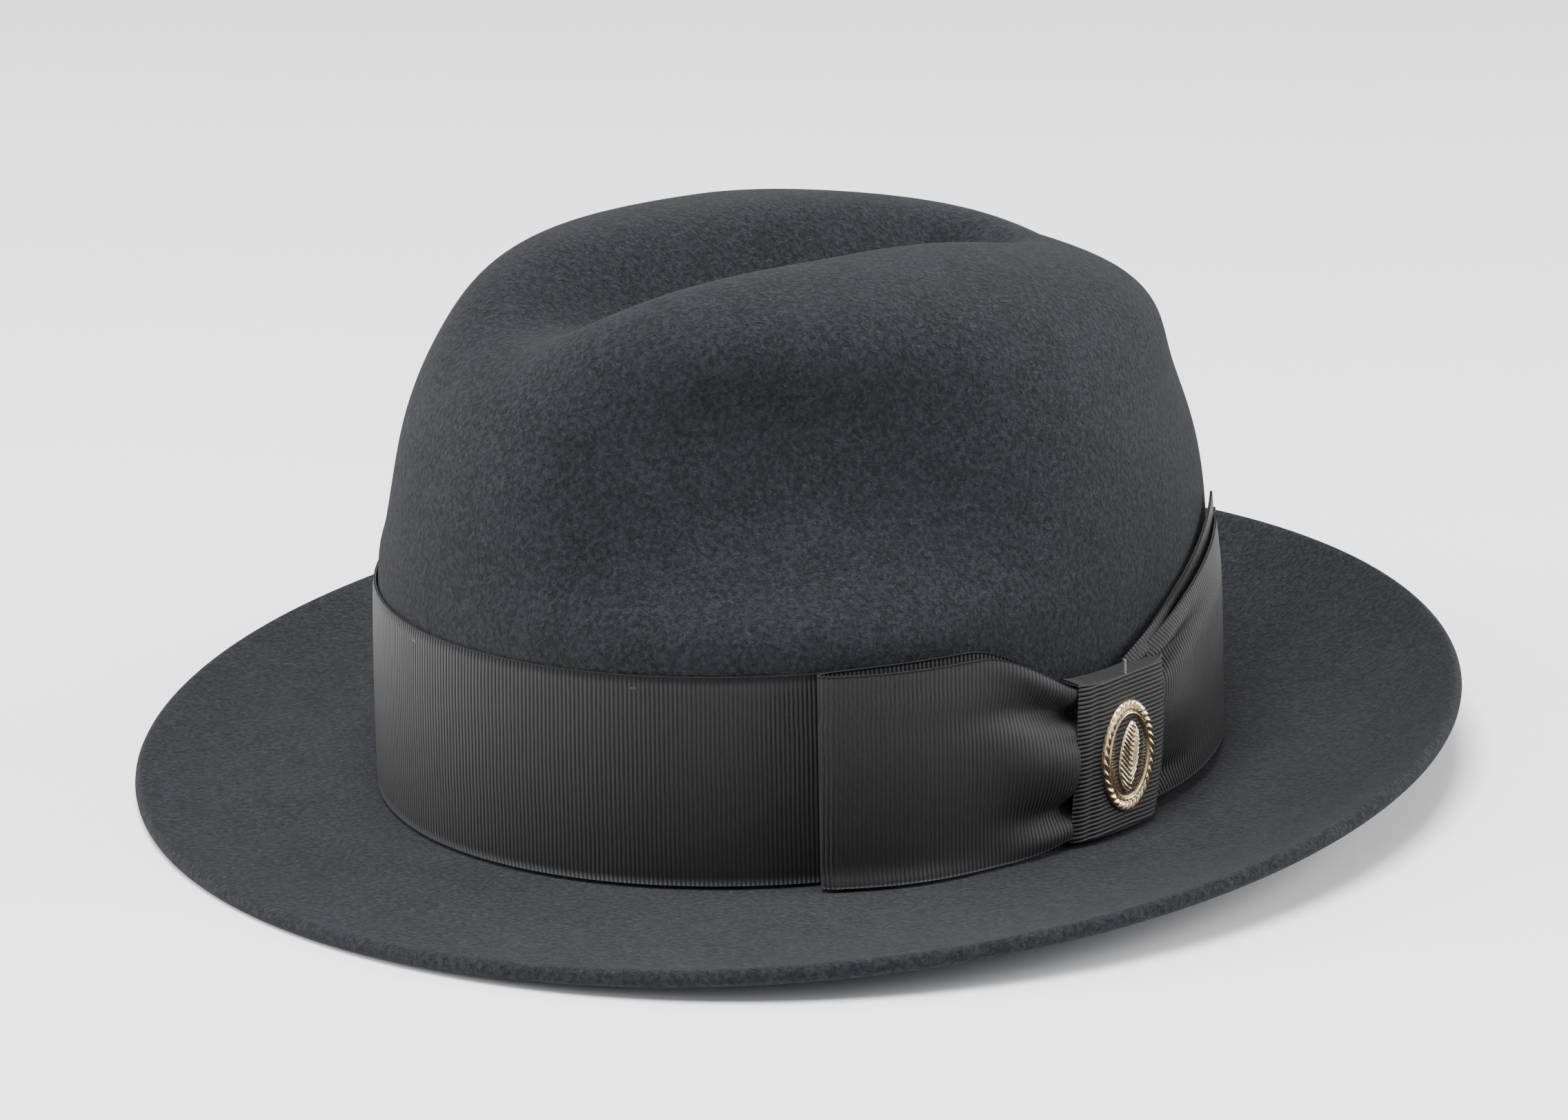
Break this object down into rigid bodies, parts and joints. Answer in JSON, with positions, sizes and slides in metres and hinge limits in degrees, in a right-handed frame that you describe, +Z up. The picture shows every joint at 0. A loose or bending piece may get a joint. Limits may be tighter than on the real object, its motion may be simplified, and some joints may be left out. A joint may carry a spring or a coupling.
{
  "type": "fedora hat",
  "caption": "Felt fedora with a creased and pinched crown, a curled brim, a wide ribbon band with a side bow and a small oval pin.",
  "frame": {"origin": "centre of the hat's outline, level with the flat ring of the brim's underside that it rests on", "axes": "+Z up through the crown, -Y towards the front of the hat, +X towards the wearer's left, where the bow is"},
  "size_m": [0.312, 0.321, 0.1324],
  "materials": {
    "felt": "brushed wool felt, charcoal, matt, with a short nap",
    "ribbon": "black grosgrain ribbon, fine ribs across its width, low sheen",
    "thread": "dull cotton thread",
    "badge_metal": "antiqued cast brass, satin high points, dark recesses",
    "sweat_leather": "dark brown roan leather, semi-matt",
    "reed_plastic": "extruded plastic reed, satin",
    "inner_tape": "narrow cotton tape, matt",
    "inner_thread": "waxed thread",
    "lining_satin": "satin lining cloth, soft sheen",
    "tag_cloth": "woven cotton tag, blank"
  },
  "bodies": {
    "hat": {"felt_body": "felt", "hatband": "ribbon", "hatband_tacks": "thread", "bow_front_loop": "ribbon", "bow_rear_loop": "ribbon", "bow_tail": "ribbon", "bow_knot": "ribbon", "badge_thread": "thread", "sweatband": "sweat_leather", "sweatband_reed": "reed_plastic", "reed_tape": "inner_tape", "sweatband_rear_bow": "inner_tape", "sweatband_seam": "inner_thread", "sweatband_stitches": "inner_thread", "lining": "lining_satin", "size_tag": "tag_cloth"},
    "badge": {"badge_plate": "badge_metal", "badge_posts": "badge_metal"}
  },
  "joints": [
    {"name": "badge_pull", "type": "slide", "parent": "hat", "child": "badge", "axis": [0.9715, 0.237, 0.0105], "range_m": [0, 0.008]}
  ]
}
